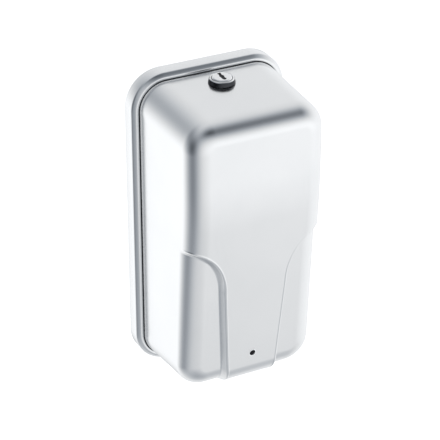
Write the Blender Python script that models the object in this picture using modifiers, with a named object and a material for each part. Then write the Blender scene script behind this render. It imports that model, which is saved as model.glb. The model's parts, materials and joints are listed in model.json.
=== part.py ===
"""Wall mounted automatic soap dispenser: drawn stainless cover hinged on a back pan,
with tank, tube pump, geared motor, battery box, sensor head and cam lock.

Frame: origin at the centre of the back pan's wall face, +X right, +Y into the wall,
+Z up, metres.  Lengths below are in millimetres and go through mm().
"""
import math
import bpy
import bmesh
from mathutils import Matrix, Vector
from mathutils.geometry import delaunay_2d_cdt

# ------------------------------------------------------------------ driving dimensions (mm)
PAN_W, PAN_H, PAN_D = 130.0, 254.0, 15.2       # back pan outside
PAN_R, PAN_T, LIP = 28.4, 1.2, 5.3             # corner radius, sheet, front lip width
GAP = 0.4                                      # running gap between cover and lip
COV_T = 1.0                                    # cover sheet
DEPTH = 100.0                                  # wall face to the cover's front
REAR_Y = 12.5                                  # depth of the cover's rear edge
F_HW, F_TOP, F_BOT = 57.25, 118.7, -117.2      # cover section where the front rounding starts
F_R, EDGE_R = 22.0, 16.25                      # corner radius in elevation, front edge radius
R_HW, R_HH, R_R = PAN_W / 2 - LIP - GAP, PAN_H / 2 - LIP - GAP, PAN_R - LIP - GAP
SLOPE, SLOPE_Z, SLOPE_L = 0.08, 68.0, 37.0     # lower front leans back from this height
STEP = 5.5                                     # depth of the two lower recesses
TNG_CX, TNG_CZ, TNG_AX, TNG_AZ = 58.0, -28.0, 32.0, 42.0   # shoulder ellipse of the centre panel
TNG_TAPER = 0.066                              # panel narrows by this per mm of height
STEP_HALF = 1.3                                # half width of the step's sloping wall
LOCK_Y, LOCK_R = -35.4, 11.1                   # lock axis, bezel radius
LED_Z, LED_R = -90.2, 2.45                     # indicator window
HINGE_Y, HINGE_Z, PIN_R = -21.5, -116.0, 1.6   # cover hinge axis
OPEN_X, OPEN_Y0, OPEN_Y1 = 27.0, -68.0, -38.0  # opening under the dispensing head
TANK = (-45.0, 45.0, -88.0, -20.0, -14.0, 76.0)
TANK_T = 1.8
NECK_Y, NECK_R, LID_Z = -66.0, 13.0, 82.0
LID_HY, LID_HZ = -49.0, 84.2                   # refill lid hinge axis
PUMP_X, PUMP_Z, PUMP_Y = -20.0, -62.0, -53.0   # rotor axis and tube plane
CH_R, TUBE_R, TUBE_C = 18.3, 2.0, 15.9         # pump chamber, tube, tube arc
ROLL_R, ROLL_C = 4.0, 9.4                      # rollers and their pitch radius
M2, Z_ROTOR, Z_SMALL = 0.8, 42, 12             # second gear stage
M1, Z_BIG, Z_PIN = 0.7, 36, 10                 # first gear stage
IDLER_X, IDLER_Z = PUMP_X, PUMP_Z + M2 * (Z_ROTOR + Z_SMALL) / 2
MOTOR_X, MOTOR_Z = IDLER_X - M1 * (Z_BIG + Z_PIN) / 2, IDLER_Z
BAT_X, BAT_Z, BAT_Y = (14.0, 48.0), (-97.0, -37.0), (-40.0, -19.0)
BATT_R, BATT_L = 7.1, 50.0


def mm(v):
    return v * 0.001


def vec(x, y, z):
    return Vector((mm(x), mm(y), mm(z)))


# ------------------------------------------------------------------ scene and helpers
for old in list(bpy.data.objects):
    bpy.data.objects.remove(old, do_unlink=True)
for old in list(bpy.data.collections):
    bpy.data.collections.remove(old)
PARTS = bpy.data.collections.new("soap_dispenser")
TOOLS = bpy.data.collections.new("cutters")
bpy.context.scene.collection.children.link(PARTS)
bpy.context.scene.collection.children.link(TOOLS)

MATS = {}


def material(name, color, rough, metal=0.0, alpha=1.0):
    if name in MATS:
        return MATS[name]
    m = bpy.data.materials.new(name)
    m.use_nodes = True
    b = m.node_tree.nodes["Principled BSDF"]
    b.inputs["Base Color"].default_value = (*color, 1.0)
    b.inputs["Roughness"].default_value = rough
    b.inputs["Metallic"].default_value = metal
    b.inputs["Alpha"].default_value = alpha
    m.diffuse_color = (*color, alpha)
    MATS[name] = m
    return m


STEEL = material("satin_stainless", (0.62, 0.63, 0.65), 0.28, 1.0)
PANSTEEL = material("pan_stainless", (0.60, 0.61, 0.63), 0.30, 1.0)
CHROME = material("lock_chrome", (0.72, 0.73, 0.75), 0.12, 1.0)
ZINC = material("zinc_plate", (0.55, 0.56, 0.58), 0.35, 1.0)
BRASS = material("brass_contact", (0.72, 0.55, 0.28), 0.3, 1.0)
GREY = material("grey_abs", (0.30, 0.31, 0.33), 0.5)
WHITE = material("white_abs", (0.78, 0.79, 0.79), 0.45)
BLACK = material("black_abs", (0.03, 0.03, 0.035), 0.45)
SMOKE = material("smoked_acrylic", (0.015, 0.015, 0.02), 0.1)
TANKM = material("tank_polyethylene", (0.86, 0.88, 0.88), 0.35, 0.0, 0.6)
CLEAR = material("clear_cover", (0.85, 0.88, 0.9), 0.1, 0.0, 0.4)
SILI = material("silicone_tube", (0.82, 0.83, 0.82), 0.4, 0.0, 0.8)
ACETAL = material("acetal", (0.83, 0.82, 0.78), 0.4)
GREEN = material("circuit_board", (0.03, 0.16, 0.08), 0.4)
RED = material("red_button", (0.5, 0.03, 0.03), 0.4)
CELL = material("battery_jacket", (0.05, 0.10, 0.22), 0.35)
RUBBER = material("black_rubber", (0.02, 0.02, 0.02), 0.8)


def link(obj, coll=None):
    for c in list(obj.users_collection):
        c.objects.unlink(obj)
    (coll or PARTS).objects.link(obj)
    return obj


def finish(name, bm, mat, origin=(0, 0, 0), smooth=False, coll=None):
    """Turn a bmesh built in millimetres and world axes into an object with its origin where asked."""
    o = Vector(origin)
    bmesh.ops.translate(bm, verts=bm.verts, vec=-o)
    bmesh.ops.scale(bm, verts=bm.verts, vec=(0.001, 0.001, 0.001))
    bmesh.ops.recalc_face_normals(bm, faces=bm.faces)
    me = bpy.data.meshes.new(name)
    bm.to_mesh(me)
    bm.free()
    ob = bpy.data.objects.new(name, me)
    ob.location = o * 0.001
    if mat:
        me.materials.append(mat)
    link(ob, coll)
    if smooth:
        me.shade_smooth()
        me.set_sharp_from_angle(angle=math.radians(35))
    return ob


def bm_box(x0, x1, y0, y1, z0, z1):
    bm = bmesh.new()
    bmesh.ops.create_cube(bm, size=1.0)
    bmesh.ops.scale(bm, verts=bm.verts, vec=(x1 - x0, y1 - y0, z1 - z0))
    bmesh.ops.translate(bm, verts=bm.verts, vec=((x0 + x1) / 2, (y0 + y1) / 2, (z0 + z1) / 2))
    return bm


AXIS = {"X": Matrix.Rotation(math.radians(90), 4, "Y"), "Y": Matrix.Rotation(math.radians(-90), 4, "X"),
        "Z": Matrix.Identity(4)}


def bm_cyl(axis, c, r, length, seg=24, r2=None):
    bm = bmesh.new()
    bmesh.ops.create_cone(bm, cap_ends=True, cap_tris=False, segments=seg, radius1=r,
                          radius2=r if r2 is None else r2, depth=length)
    bmesh.ops.transform(bm, matrix=AXIS[axis], verts=bm.verts)
    bmesh.ops.translate(bm, verts=bm.verts, vec=c)
    return bm


def box(name, x0, x1, y0, y1, z0, z1, mat, origin=(0, 0, 0), bevel=0.0, seg=1, coll=None):
    ob = finish(name, bm_box(x0, x1, y0, y1, z0, z1), mat, origin, coll=coll)
    if bevel:
        b = ob.modifiers.new("round", "BEVEL")
        b.width = mm(bevel)
        b.segments = seg
        b.limit_method = "ANGLE"
    return ob


def cyl(name, axis, c, r, length, mat, origin=None, seg=24, r2=None, coll=None):
    return finish(name, bm_cyl(axis, c, r, length, seg, r2), mat, origin or c, smooth=True, coll=coll)


def lathe(name, profile, mat, centre, axis="Z", seg=32):
    """Turn a closed profile of (radius, height) pairs about an axis through centre."""
    area = sum(a[0] * b[1] - b[0] * a[1] for a, b in zip(profile, profile[1:] + profile[:1]))
    if area > 0:
        profile = profile[::-1]          # the outer side runs downwards, so faces point out
    me = bpy.data.meshes.new(name)
    bm = bmesh.new()
    vs = [bm.verts.new((mm(r), 0.0, mm(h))) for r, h in profile]
    ring = all(r > 1e-6 for r, h in profile)
    for a, b in zip(vs, vs[1:]):
        bm.edges.new((a, b))
    if ring:
        bm.edges.new((vs[-1], vs[0]))
    bm.to_mesh(me)
    bm.free()
    ob = bpy.data.objects.new(name, me)
    me.materials.append(mat)
    link(ob)
    ob.location = Vector(centre) * 0.001
    ob.rotation_euler = {"Z": (0, 0, 0), "Y": (math.radians(-90), 0, 0), "-Y": (math.radians(90), 0, 0),
                         "X": (0, math.radians(90), 0)}[axis]
    s = ob.modifiers.new("turn", "SCREW")
    s.axis = "Z"
    s.angle = 2 * math.pi
    s.steps = seg
    s.render_steps = seg
    s.use_merge_vertices = True
    s.merge_threshold = 0.00001
    s.use_smooth_shade = True
    return ob


def boolean(ob, tool, op="DIFFERENCE"):
    tool.hide_render = True
    tool.display_type = "WIRE"
    link(tool, TOOLS)
    m = ob.modifiers.new(op.lower(), "BOOLEAN")
    m.operation = op
    m.solver = "EXACT"
    m.object = tool
    return ob


def cut_box(ob, *b):
    return boolean(ob, box(ob.name + ".c", *b, None, coll=TOOLS))


def cut_cyl(ob, axis, c, r, length, seg=24):
    return boolean(ob, cyl(ob.name + ".c", axis, c, r, length, None, seg=seg, coll=TOOLS))


def add_box(ob, *b):
    return boolean(ob, box(ob.name + ".a", *b, None, coll=TOOLS), "UNION")


def add_cyl(ob, axis, c, r, length, seg=24):
    return boolean(ob, cyl(ob.name + ".a", axis, c, r, length, None, seg=seg, coll=TOOLS), "UNION")


def plate_y(name, pts, y0, y1, mat, origin=(0, 0, 0), smooth=False, coll=None):
    """Extrude an (x, z) outline along Y."""
    bm = bmesh.new()
    vs = [bm.verts.new((x, y0, z)) for x, z in pts]
    f = bm.faces.new(vs)
    out = bmesh.ops.extrude_face_region(bm, geom=[f])
    bmesh.ops.translate(bm, verts=[g for g in out["geom"] if isinstance(g, bmesh.types.BMVert)], vec=(0, y1 - y0, 0))
    return finish(name, bm, mat, origin, smooth, coll)


def plate(name, axis, pts, a0, a1, mat, origin=(0, 0, 0), smooth=False, coll=None):
    """Extrude an outline along an axis: (y, z) pairs along X, or (x, y) pairs along Z."""
    put = (lambda p, a: (a, p[0], p[1])) if axis == "X" else (lambda p, a: (p[0], p[1], a))
    bm = bmesh.new()
    f = bm.faces.new([bm.verts.new(put(p, a0)) for p in pts])
    out = bmesh.ops.extrude_face_region(bm, geom=[f])
    bmesh.ops.translate(bm, verts=[g for g in out["geom"] if isinstance(g, bmesh.types.BMVert)],
                        vec=put((0, 0), a1 - a0))
    return finish(name, bm, mat, origin, smooth, coll)


def slot_outline(cx, y0, y1, r, n=6):
    """Round-ended bar outline in (x, y), its ends centred at y0 and y1."""
    up = [(cx + r * math.cos(math.pi * i / n), y1 + r * math.sin(math.pi * i / n)) for i in range(n + 1)]
    dn = [(cx - r * math.cos(math.pi * i / n), y0 - r * math.sin(math.pi * i / n)) for i in range(n + 1)]
    return up + dn


def rrect(hw, zt, zb, r, n=6, extra_z=(), extra_x=()):
    """Rounded rectangle outline (x, z), anticlockwise from the bottom of the right side."""
    pts = []
    zs = sorted(z for z in extra_z if zb + r + 0.5 < z < zt - r - 0.5)
    xs = sorted(x for x in extra_x if -hw + r + 0.5 < x < hw - r - 0.5)
    for k, (cx, cz, a0) in enumerate(((hw - r, zb + r, -90), (hw - r, zt - r, 0), (-hw + r, zt - r, 90),
                                      (-hw + r, zb + r, 180))):
        for i in range(n + 1):
            a = math.radians(a0 + 90.0 * i / n)
            pts.append((cx + r * math.cos(a), cz + r * math.sin(a)))
        if k == 0:
            pts += [(hw, z) for z in zs]
        elif k == 1:
            pts += [(x, zt) for x in reversed(xs)]
        elif k == 2:
            pts += [(-hw, z) for z in reversed(zs)]
        else:
            pts += [(x, zb) for x in xs]
    return pts


def loft(loops, close_first=False, close_last=False):
    """Skin through closed loops of equal length; each loop is a list of (x, y, z)."""
    bm = bmesh.new()
    rows = [[bm.verts.new(p) for p in lp] for lp in loops]
    n = len(rows[0])
    for a, b in zip(rows, rows[1:]):
        for i in range(n):
            bm.faces.new((a[i], a[(i + 1) % n], b[(i + 1) % n], b[i]))
    if close_first:
        bm.faces.new(list(reversed(rows[0])))
    if close_last:
        bm.faces.new(rows[-1])
    return bm


def solidify(ob, t, offset=-1.0):
    s = ob.modifiers.new("sheet", "SOLIDIFY")
    s.thickness = mm(t)
    s.offset = offset
    s.use_even_offset = True
    return ob


# ------------------------------------------------------------------ cover surface
def lean(z):
    t = max(SLOPE_Z - z, 0.0)
    return SLOPE * t * t / (2 * SLOPE_L) if t < SLOPE_L else SLOPE * (t - SLOPE_L / 2)


def panel_half(z):
    """Half width of the centre panel at a height; its shoulder runs out to the sides."""
    if z >= TNG_CZ + TNG_AZ:
        return TNG_CX
    if z <= TNG_CZ:
        return TNG_CX - TNG_AX - TNG_TAPER * (TNG_CZ - z)
    k = (z - TNG_CZ) / TNG_AZ
    return TNG_CX - TNG_AX * math.sqrt(1.0 - k * k)


def panel_line(n_shoulder=14, n_leg=5):
    """Right-hand panel edge as points from the cover's side down to below its bottom, with normals."""
    pts = []
    for i in range(n_shoulder + 1):
        a = math.radians(90.0 * i / n_shoulder)
        pts.append((TNG_CX - TNG_AX * math.sin(a), TNG_CZ + TNG_AZ * math.cos(a)))
    z_end = F_BOT - 4.0
    for i in range(1, n_leg + 1):
        z = TNG_CZ + (z_end - TNG_CZ) * i / n_leg
        pts.append((panel_half(z), z))
    out = []
    for i, (x, z) in enumerate(pts):
        a, b = pts[max(i - 1, 0)], pts[min(i + 1, len(pts) - 1)]
        tx, tz = b[0] - a[0], b[1] - a[1]
        ln = math.hypot(tx, tz)
        out.append((x, z, -tz / ln, tx / ln))     # normal points out of the panel, into the recess
    return out


LINE = panel_line()


def recess(x, z):
    """0 on the centre panel, 1 in the recess, ramping across the step's wall."""
    ax, best, side = abs(x), 1e9, 1.0
    for (x0, z0, nx0, nz0), (x1, z1, nx1, nz1) in zip(LINE, LINE[1:]):
        dx, dz = x1 - x0, z1 - z0
        t = min(max(((ax - x0) * dx + (z - z0) * dz) / (dx * dx + dz * dz), 0.0), 1.0)
        px, pz = x0 + t * dx, z0 + t * dz
        d = math.hypot(ax - px, z - pz)
        if d < best:
            best = d
            side = (ax - px) * (-dz) + (z - pz) * dx
    s = best if side > 0 else -best
    return min(max((s + STEP_HALF) / (2 * STEP_HALF), 0.0), 1.0)


def warp(x, y, z):
    """Lean the lower front back and push the recesses in, fading to nothing at the rear edge."""
    k = (lean(z) + STEP * recess(x, z)) / (DEPTH - PAN_D)
    d = -y - PAN_D
    return (x, -(PAN_D + d * (1.0 - k)) if d > 0 else y, z)


def edge_drop(x, z):
    """Depth lost to the front rounding at (x, z), from the distance inside the outline."""
    zc, hz = (F_TOP + F_BOT) / 2, (F_TOP - F_BOT) / 2
    qx, qz = abs(x) - (F_HW - F_R), abs(z - zc) - (hz - F_R)
    d = F_R - (math.hypot(max(qx, 0), max(qz, 0)) + min(max(qx, qz), 0.0))
    if d >= EDGE_R:
        return 0.0
    return EDGE_R - math.sqrt(max(EDGE_R ** 2 - (EDGE_R - max(d, 0.0)) ** 2, 0.0))


def cover_skin():
    zx = sorted({-85, -55, -28, 31, 43, 55, 68, 14 + STEP_HALF, 14 - STEP_HALF, 9, 4, -3, -12})
    bottom_half = panel_half(F_BOT)
    xx = tuple(sorted({0.0, -30.0, 30.0, bottom_half - STEP_HALF, bottom_half + STEP_HALF, -bottom_half - STEP_HALF,
                       -bottom_half + STEP_HALF}))
    outer = rrect(F_HW, F_TOP, F_BOT, F_R, 6, zx, xx)
    n = len(outer)
    pts = [Vector(p) for p in outer]
    edges = [(i, (i + 1) % n) for i in range(n)]
    lines = []
    for sgn in (1, -1):
        for off in (-STEP_HALF, STEP_HALF):
            run = []
            for x, z, nx, nz in LINE:
                px, pz = x + off * nx, z + off * nz
                if abs(px) < F_HW - 0.35 and pz > F_BOT + 0.35:
                    run.append((sgn * px, pz))
            lines.append(run)
            base = len(pts)
            # tie each line to the outline points that continue it
            a = min(range(n), key=lambda i: (outer[i][0] - sgn * F_HW) ** 2 + (outer[i][1] - (14 - off)) ** 2)
            b = min(range(n), key=lambda i: (outer[i][0] - sgn * (bottom_half + off)) ** 2 + (outer[i][1] - F_BOT) ** 2)
            pts += [Vector(p) for p in run]
            chain = [a] + list(range(base, base + len(run))) + [b]
            edges += list(zip(chain, chain[1:]))
    allpts = [p for r in lines for p in r]

    def clear(x, z, lim):
        return all((x - p[0]) ** 2 + (z - p[1]) ** 2 > lim * lim for p in allpts)

    for phi in (16, 34, 52, 70, 90):
        d = EDGE_R * (1 - math.cos(math.radians(phi)))
        ring = rrect(F_HW - d, F_TOP - d, F_BOT + d, F_R - d, 6, zx, xx)
        idx = []
        for x, z in ring:
            if clear(x, z, 2.2):
                idx.append(len(pts))
                pts.append(Vector((x, z)))
            else:
                idx.append(None)
        if phi in (34, 70, 90):
            for a, b in zip(idx, idx[1:] + idx[:1]):
                if a is not None and b is not None:
                    pa, pb = pts[a], pts[b]
                    mid = (pa + pb) / 2
                    if clear(mid.x, mid.y, 2.2) and (pa - pb).length < 45 and recess(*pa) == recess(*pb):
                        edges.append((a, b))
    for z in (90, 68, 55, 43, 31):
        for x in (-20, 20):
            pts.append(Vector((x, z)))
    for z in (9, -28, -60, -90):
        pts.append(Vector((0, z)))
    v2, e2, f2, *_ = delaunay_2d_cdt(pts, edges, [list(range(n))], 1, 1e-5, True)
    bm = bmesh.new()
    vs = []
    for p in v2:
        x, z = p
        vs.append(bm.verts.new(warp(x, -(DEPTH - edge_drop(x, z)), z)))
    for f in f2:
        bm.faces.new([vs[i] for i in f])
    bm.verts.ensure_lookup_table()
    # side wall: from the start of the front rounding back to the rear edge
    rear = rrect(R_HW, R_HH, -R_HH, R_R, 6, zx, xx)
    k = (PAN_D - REAR_Y) / (DEPTH - EDGE_R - PAN_D)
    loopv = []
    for x, z in outer:
        loopv.append(min(vs, key=lambda v: (v.co.x - x) ** 2 + (v.co.z - z) ** 2))
    rearv = [bm.verts.new((x + (x - xo) * k, -REAR_Y, z + (z - zo) * k)) for (x, z), (xo, zo) in zip(rear, outer)]
    for i in range(n):
        j = (i + 1) % n
        bm.faces.new((loopv[i], loopv[j], rearv[j], rearv[i]))
    return bm


cover = finish("cover", cover_skin(), STEEL, (0, HINGE_Y, HINGE_Z), smooth=True)
solidify(cover, COV_T)
cut_cyl(cover, "Z", (0, LOCK_Y, 118), 9.6, 20, 32)
cut_cyl(cover, "Y", (0, -88, LED_Z), LED_R + 0.55, 16, 20)
cut_box(cover, -OPEN_X, OPEN_X, OPEN_Y0, OPEN_Y1, -125, -112)
for s in (-1, 1):
    cut_box(cover, *sorted((s * 32, s * 38)), -27, -10, -125, -112)

# ------------------------------------------------------------------ back pan
def pan_loop(inset, y):
    return [(x, y, z) for x, z in rrect(PAN_W / 2 - inset, PAN_H / 2 - inset, -PAN_H / 2 + inset, PAN_R - inset, 8)]


loops = [pan_loop(16.0, -PAN_T), pan_loop(1.2, -PAN_T + 0.0)]
pan_prof = [(1.0, 0.0), (0.3, -0.3), (0.0, -1.0), (0.0, -PAN_D + 1.6), (0.5, -PAN_D + 0.5), (1.6, -PAN_D), (LIP, -PAN_D)]
bm = loft([pan_loop(i, y) for i, y in pan_prof], close_first=True)
pan = finish("back_pan", bm, PANSTEEL, smooth=True)
solidify(pan, PAN_T)
WALL_HOLES = [(-40, 104), (40, 104), (-40, -100), (40, -100)]
for x, z in WALL_HOLES:
    cut_cyl(pan, "Y", (x, -1, z), 2.75, 8, 20)

# ------------------------------------------------------------------ chassis on the pan
chassis = box("chassis", -49, 49, -18, -1.6, -99, 80, GREY)
cut_box(chassis, -46.5, 46.5, -30, -4.2, -96.5, 77.5)
for x, z in ((-40, 104), (40, 104)):
    pass
for x, z in ((-40, -100), (40, -100)):
    cut_box(chassis, x - 6, x + 6, -30, 0, z - 4, z + 10)
SCREWS = [(-40, 70), (40, 70), (-40, -78), (40, -8)]
for i, (x, z) in enumerate(SCREWS):
    cut_cyl(chassis, "Y", (x, -3, z), 1.9, 8, 16)
    cut_cyl(pan, "Y", (x, -1, z), 1.9, 8, 16)
    sc = lathe("chassis_screw_%d" % (i + 1),
               [(0, 0), (1.5, 0), (1.5, 4.2), (3.4, 4.2), (3.4, 5.2), (2.6, 6.2), (0, 6.6)], ZINC,
               (x, -0.3, z), "-Y", 16)
# tank shelf and rails that carry the tank
add_box(chassis, -44, 44, -60, -3.5, -18.5, -15.5)
cut_cyl(chassis, "Z", (0, PUMP_Y, -17), 6.0, 12, 20)
cut_box(chassis, -20, 20, -48, -30, -20, -14)

# ------------------------------------------------------------------ tank, outlet and refill lid
x0, x1, y0, y1, z0, z1 = TANK
tank = box("tank", x0, x1, y0, y1, z0, z1, TANKM)
b = tank.modifiers.new("round", "BEVEL")
b.width = mm(6)
b.segments = 2
b.limit_method = "ANGLE"
add_cyl(tank, "Z", (0, NECK_Y, LID_Z - 6), NECK_R + TANK_T, 12, 32)
t = TANK_T
inner = box("tank.inner", x0 + t, x1 - t, y0 + t, y1 - t, z0 + t, z1 - t, None, bevel=4.2, seg=2, coll=TOOLS)
boolean(tank, inner)
cut_cyl(tank, "Z", (0, NECK_Y, LID_Z - 3), NECK_R, 20, 32)
cut_cyl(tank, "Z", (0, PUMP_Y, z0), 3.0, 8, 20)

outlet = lathe("tank_outlet", [(1.2, 2.6), (5.2, 2.6), (5.2, 1.3), (2.7, 1.3), (2.7, -2.2), (5.0, -2.2), (5.0, -5.0),
                               (2.4, -6.0), (1.5, -10.0), (1.2, -10.0)], ACETAL, (0, PUMP_Y, z0 + TANK_T - 0.9), "Z", 20)

lid = box("refill_lid", -17, 17, -82.5, LID_HY + 2.6, LID_Z + 0.4, LID_Z + 2.6, GREY, (0, LID_HY, LID_HZ), 0.0)
boolean(lid, cyl("refill_lid.k", "X", (0, LID_HY, LID_HZ), 2.2, 16, None, seg=16, coll=TOOLS), "UNION")
boolean(lid, cyl("refill_lid.plug", "Z", (0, NECK_Y, LID_Z - 0.6), NECK_R - 0.7, 3.2, None, seg=32, coll=TOOLS), "UNION")
for s in (-1, 1):
    cut_box(lid, *sorted((s * 8, s * 20)), LID_HY - 3.4, LID_HY + 6, LID_Z - 3, LID_Z + 8)
cut_cyl(lid, "X", (0, LID_HY, LID_HZ), 1.3, 40, 16)
for s, nm in ((-1, "left"), (1, "right")):
    add_box(tank, *sorted((s * 8.6, s * 11.6)), LID_HY - 2.2, LID_HY + 2.2, 75.0, LID_HZ)
    add_cyl(tank, "X", (s * 10.1, LID_HY, LID_HZ), 2.2, 3.0, 16)
cut_cyl(tank, "X", (0, LID_HY, LID_HZ), 1.3, 40, 16)
cyl("lid_pin", "X", (0, LID_HY, LID_HZ), 1.0, 24.0, ZINC, seg=12)

# ------------------------------------------------------------------ tube pump
px, pz, py = PUMP_X, PUMP_Z, PUMP_Y
ring = [(px + 7, pz + 23), (px - 23, pz + 23), (px - 23, pz - 23), (px + 7, pz - 23), (px + 7, pz - CH_R)]
ring += [(px + CH_R * math.cos(math.radians(a)), pz + CH_R * math.sin(math.radians(a))) for a in range(-90, -271, -10)]
ring += [(px + 7, pz + CH_R)]
housing = plate_y("pump_housing", ring, -60, -45.2, WHITE)
add_box(housing, px - 23.4, px + 16, -46, -44, pz - 23.4, pz + 23.4)
cut_cyl(housing, "Y", (px, -45, pz), 3.0, 8, 20)
cap = plate_y("pump_cap", rrect(20.5, pz + 23, pz - 23, 4, 3), -62.3, -60.4, CLEAR)
cap.location.x = mm(px - 2.5)

tube_pts = []
c1 = (0.0, py, z0 - 9.5)


def arc(cx, cz, r, a0, a1, n):
    return [(cx + r * math.cos(math.radians(a0 + (a1 - a0) * i / n)), py,
             cz + r * math.sin(math.radians(a0 + (a1 - a0) * i / n))) for i in range(n + 1)]


top_z, bot_z = pz + TUBE_C, pz - TUBE_C
tube_pts += [(0, py, z0 - 12.0), (0, py, z0 - 17.0)]
rb = 12.0
tube_pts += arc(-rb, top_z + rb, rb, 0, -90, 4)
tube_pts += arc(px, pz, TUBE_C, 90, 270, 14)[0:]
tube_pts += arc(-rb, bot_z - rb, rb, 90, 0, 4)
tube_pts += [(0, py, bot_z - rb - 4.0), (0, py, -97.7)]
clean = []
for p in tube_pts:
    if not clean or (Vector(p) - Vector(clean[-1])).length > 1.0:
        clean.append(p)
cu = bpy.data.curves.new("pump_tube", "CURVE")
cu.dimensions = "3D"
sp = cu.splines.new("POLY")
sp.points.add(len(clean) - 1)
for p, q in zip(sp.points, clean):
    p.co = (*vec(*q), 1.0)
cu.bevel_depth = mm(TUBE_R)
cu.bevel_resolution = 2
cu.use_fill_caps = True
tube = bpy.data.objects.new("pump_tube", cu)
cu.materials.append(SILI)
link(tube)


def gear_outline(m, z, phase, add=0.85, ded=1.15, thick=0.42, pa=22.0, fine=False):
    """Involute gear outline (x, z) about the origin; phase turns tooth 0's centre, in degrees."""
    rp = m * z / 2
    rb_ = rp * math.cos(math.radians(pa))
    ra, rf = rp + add * m, rp - ded * m
    half = thick * math.pi / z                       # half tooth angle on the pitch circle

    def inv(r):
        c = min(rb_ / r, 1.0)
        a = math.acos(c)
        return math.tan(a) - a

    rs = [max(rb_, rf), rp, ra] if fine else [max(rb_, rf), ra]
    fl = [(r, half + inv(rp) - inv(r)) for r in rs]
    if rb_ > rf + 0.1:
        fl = [(rf, fl[0][1])] + fl
    out = []
    for k in range(z):
        c = 2 * math.pi * k / z + math.radians(phase)
        out += [(r, c - a) for r, a in fl]
        out += [(r, c + a) for r, a in reversed(fl)]
    return [(r * math.cos(a), r * math.sin(a)) for r, a in out]


def gear(name, m, z, cx, cz, y0, y1, mat, phase, bore, origin, fine=False):
    pts = [(cx + x, cz + w) for x, w in gear_outline(m, z, phase, fine=fine)]
    ob = plate_y(name, pts, y0, y1, mat, origin)
    if bore:
        cut_cyl(ob, "Y", (cx, (y0 + y1) / 2, cz), bore, abs(y1 - y0) + 4, 16)
    return ob


ro = (px, py, pz)
# rotor: two flanges on a hub, with the driven gear keyed on the same shaft
rotor = cyl("pump_rotor", "Y", (px, -53.0, pz), 4.2, 9.4, WHITE, ro, 24)
add_cyl(rotor, "Y", (px, -58.3, pz), 13.2, 1.6, 36)
add_cyl(rotor, "Y", (px, -47.7, pz), 13.2, 1.6, 36)
cut_cyl(rotor, "Y", (px, -53, pz), 2.3, 30, 16)
for k in range(3):
    a = math.radians(30 + 120 * k)
    cx, cz = px + ROLL_C * math.cos(a), pz + ROLL_C * math.sin(a)
    cut_cyl(rotor, "Y", (cx, -53, cz), 1.1, 30, 12)
    cyl("roller_pin_%d" % (k + 1), "Y", (cx, -53, cz), 0.8, 12.0, ZINC, seg=12)
    lathe("roller_%d" % (k + 1), [(1.1, -4.3), (ROLL_R - 0.3, -4.3), (ROLL_R, -3.9), (ROLL_R, 3.9), (ROLL_R - 0.3, 4.3), (1.1, 4.3)],
          ACETAL, (cx, -53, cz), "Y", 20)
cyl("rotor_shaft", "Y", (px, -46.5, pz), 2.0, 25.4, ZINC, ro, 16)

ph2 = 90.0
gear("rotor_gear", M2, Z_ROTOR, px, pz, -43.4, -39.4, ACETAL, ph2, 2.3, ro)
# the small idler gear meshes straight above: its tooth gap faces down
ph_small = -90.0 + 180.0 / Z_SMALL
ix, iz = IDLER_X, IDLER_Z
io = (ix, -38, iz)
small = plate_y("idler_gear", [(ix + x, iz + w) for x, w in gear_outline(M2, Z_SMALL, ph_small, fine=True)],
                -43.4, -38.0, ACETAL, io)
ph_big = 180.0
big = plate_y("idler_gear.big", [(ix + x, iz + w) for x, w in gear_outline(M1, Z_BIG, ph_big)], -38.6, -35.0, None, io, coll=TOOLS)
boolean(small, big, "UNION")
cut_cyl(small, "Y", (ix, -38, iz), 1.4, 20, 16)
cyl("idler_axle", "Y", (ix, -38.4, iz), 1.1, 11.0, ZINC, seg=12)
mx, mz = MOTOR_X, MOTOR_Z
mo = (mx, -36, mz)
gear("motor_pinion", M1, Z_PIN, mx, mz, -38.6, -34.8, BRASS, 180.0 / Z_PIN, 1.0, mo, fine=True)
cyl("motor_shaft", "Y", (mx, -36.2, mz), 0.7, 7.6, ZINC, mo, 12)

# gear plate carries motor, idler axle and rotor shaft behind the pump housing
gplate = plate_y("gear_plate", [(px - 27, pz - 23), (px + 14, pz - 23), (px + 14, iz + 10), (px - 27, iz + 10)], -33.4, -31.4, GREY)
cut_cyl(gplate, "Y", (px, -32, pz), 2.3, 10, 16)
cut_cyl(gplate, "Y", (ix, -32, iz), 1.4, 10, 16)
cut_cyl(gplate, "Y", (mx, -32, mz), 3.6, 10, 20)
for k, (x, z) in enumerate(((px - 24.5, pz - 20.5), (px + 11.5, pz - 20.5), (px + 11.5, iz + 7.5))):
    add_box(gplate, x - 2, x + 2, -32, -4.5, z - 2, z + 2)
for x, z in ((px - 20.6, pz - 20.6), (px + 13.6, pz - 20.6)):
    add_box(housing, x - 1.6, x + 1.6, -45, -33.7, z - 1.6, z + 1.6)
add_box(housing, px + 12, px + 19.6, -45.6, -44.3, pz + 10, pz + 14)
add_box(housing, px + 16.6, px + 19.4, -45.2, -33.7, pz + 10.3, pz + 13.7)
add_box(gplate, px + 10, px + 19.6, -33.4, -31.4, pz + 9, pz + 15)
motor = cyl("motor", "Y", (mx, -19.6, mz), 10.0, 22.8, ZINC, seg=32)
for s in (-1, 1):
    cut_box(motor, mx - 15, mx + 15, -40, 0, *sorted((mz + s * 7.6, mz + s * 14)))
add_cyl(motor, "Y", (mx, -31.6, mz), 3.1, 3.0, 20)
cut_cyl(motor, "Y", (mx, -33, mz), 1.0, 4.0, 12)

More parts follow.
